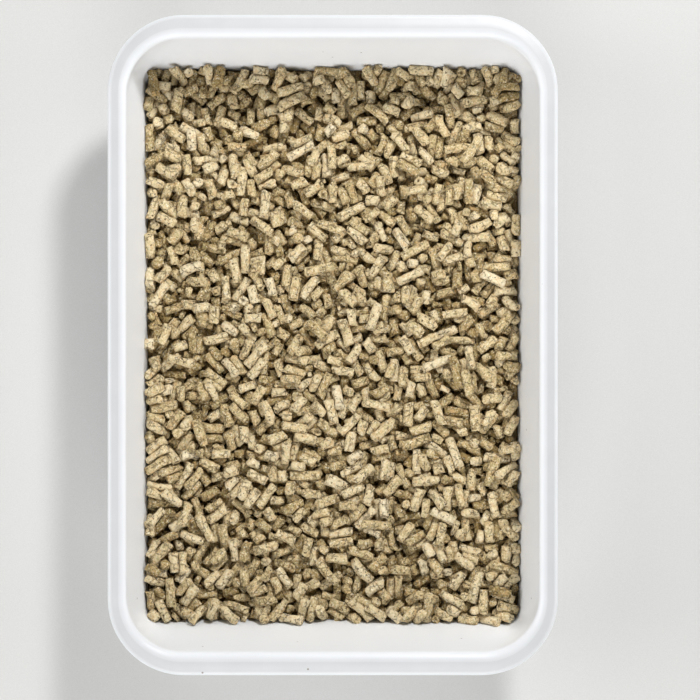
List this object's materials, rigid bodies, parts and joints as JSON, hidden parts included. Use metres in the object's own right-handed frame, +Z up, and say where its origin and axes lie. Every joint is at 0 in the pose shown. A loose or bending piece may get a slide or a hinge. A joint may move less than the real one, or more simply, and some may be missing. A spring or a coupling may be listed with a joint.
{
  "type": "cat litter tray filled with pellets",
  "caption": "White moulded litter tray with drafted walls and a rolled rim, holding a bed of loose tan pressed plant pellets, some lying free and some propped against the walls.",
  "frame": {"origin": "middle of the tray's flat underside", "axes": "+Z up out of the tray, +Y along the tray's long way, +X across it"},
  "size_m": [0.3, 0.44, 0.11],
  "materials": {
    "tray_plastic": "white moulded plastic, satin",
    "pellet_litter": "pressed plant fibre, matt and speckled"
  },
  "bodies": {
    "root": {"tray": "tray_plastic", "litter_bed": "pellet_litter", "propped_pellet_01": "pellet_litter", "propped_pellet_02": "pellet_litter", "propped_pellet_03": "pellet_litter", "propped_pellet_04": "pellet_litter", "propped_pellet_05": "pellet_litter", "propped_pellet_06": "pellet_litter", "propped_pellet_07": "pellet_litter", "propped_pellet_08": "pellet_litter", "propped_pellet_09": "pellet_litter", "propped_pellet_10": "pellet_litter", "propped_pellet_11": "pellet_litter", "propped_pellet_12": "pellet_litter", "propped_pellet_13": "pellet_litter", "propped_pellet_14": "pellet_litter", "propped_pellet_15": "pellet_litter", "propped_pellet_16": "pellet_litter", "propped_pellet_17": "pellet_litter", "propped_pellet_18": "pellet_litter", "propped_pellet_19": "pellet_litter", "propped_pellet_20": "pellet_litter", "propped_pellet_21": "pellet_litter", "propped_pellet_22": "pellet_litter", "propped_pellet_23": "pellet_litter", "propped_pellet_24": "pellet_litter", "propped_pellet_25": "pellet_litter", "propped_pellet_26": "pellet_litter", "propped_pellet_27": "pellet_litter", "propped_pellet_28": "pellet_litter", "loose_pellet_01": "pellet_litter", "loose_pellet_02": "pellet_litter", "loose_pellet_03": "pellet_litter", "loose_pellet_04": "pellet_litter", "loose_pellet_05": "pellet_litter", "loose_pellet_06": "pellet_litter", "loose_pellet_07": "pellet_litter", "loose_pellet_08": "pellet_litter", "loose_pellet_09": "pellet_litter", "loose_pellet_10": "pellet_litter", "loose_pellet_11": "pellet_litter", "loose_pellet_12": "pellet_litter", "loose_pellet_13": "pellet_litter", "loose_pellet_14": "pellet_litter", "loose_pellet_15": "pellet_litter", "loose_pellet_16": "pellet_litter", "loose_pellet_17": "pellet_litter", "loose_pellet_18": "pellet_litter", "loose_pellet_19": "pellet_litter", "loose_pellet_20": "pellet_litter", "loose_pellet_21": "pellet_litter", "loose_pellet_22": "pellet_litter", "loose_pellet_23": "pellet_litter", "loose_pellet_24": "pellet_litter", "loose_pellet_25": "pellet_litter", "loose_pellet_26": "pellet_litter", "loose_pellet_27": "pellet_litter", "loose_pellet_28": "pellet_litter"}
  },
  "joints": []
}
